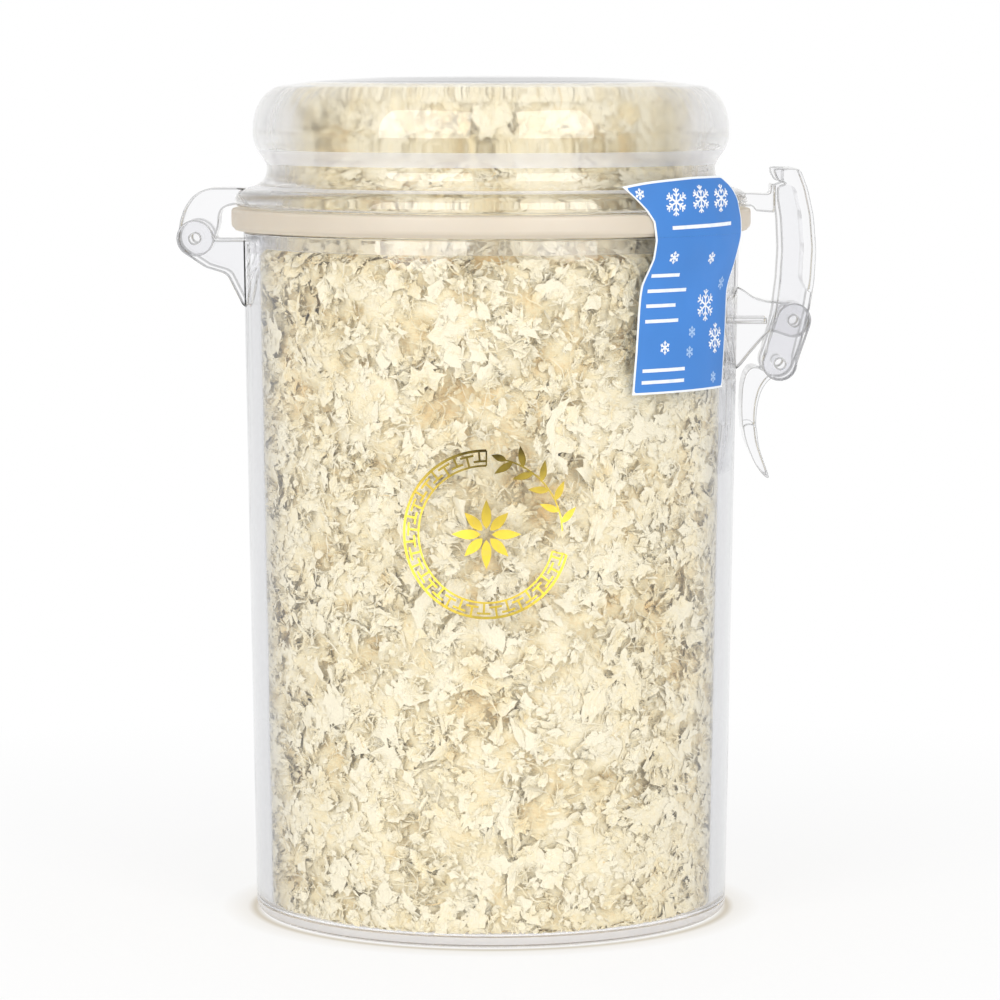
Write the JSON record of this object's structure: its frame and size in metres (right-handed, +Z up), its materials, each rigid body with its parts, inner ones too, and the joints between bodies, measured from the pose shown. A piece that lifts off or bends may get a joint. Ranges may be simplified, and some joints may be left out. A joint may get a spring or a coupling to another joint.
{
  "type": "clip-top jar of dried edible bird's nest",
  "caption": "Clear clip-top canister full of crushed edible bird's nest, with a domed hinged lid, a gasket, a draw latch and a seal sticker.",
  "frame": {"origin": "middle of the jar's flat underside, on the jar's axis", "axes": "+Z up along the jar's axis; the lid's hinge is at -X and the latch at +X, so the front is at -Y"},
  "size_m": [0.1417, 0.1158, 0.187],
  "materials": {
    "clear_plastic": "clear, polished",
    "silicone": "satin, milky beige",
    "dried_nest": "ragged, translucent flakes",
    "printed_film": "semi-gloss print"
  },
  "bodies": {
    "jar": {"jar_body": "clear_plastic", "nest_fill": "dried_nest", "hinge_pin": "clear_plastic", "bracket_pin": "clear_plastic", "seal_sticker_lower": "printed_film"},
    "lid": {"lid": "clear_plastic", "gasket": "silicone", "seal_sticker_upper": "printed_film"},
    "latch_handle": {"latch_handle": "clear_plastic", "link_pin": "clear_plastic"},
    "latch_link": {"latch_link": "clear_plastic"}
  },
  "joints": [
    {"name": "lid_hinge", "type": "hinge", "parent": "jar", "child": "lid", "pos_m": [-0.0656, 0, 0.151], "axis": [0, -1, 0], "range_deg": [0, 105]},
    {"name": "latch_handle_pivot", "type": "hinge", "parent": "jar", "child": "latch_handle", "pos_m": [0.0673, 0, 0.1327], "axis": [0, -1, 0], "range_deg": [0, 120]},
    {"name": "latch_link_pivot", "type": "hinge", "parent": "latch_handle", "child": "latch_link", "pos_m": [0.0641, 0, 0.1233], "axis": [0, -1, 0], "range_deg": [-132, 0]}
  ],
  "couplings": [
    {"joint": "latch_link_pivot", "follows": "latch_handle_pivot", "ratio": -1.1}
  ]
}
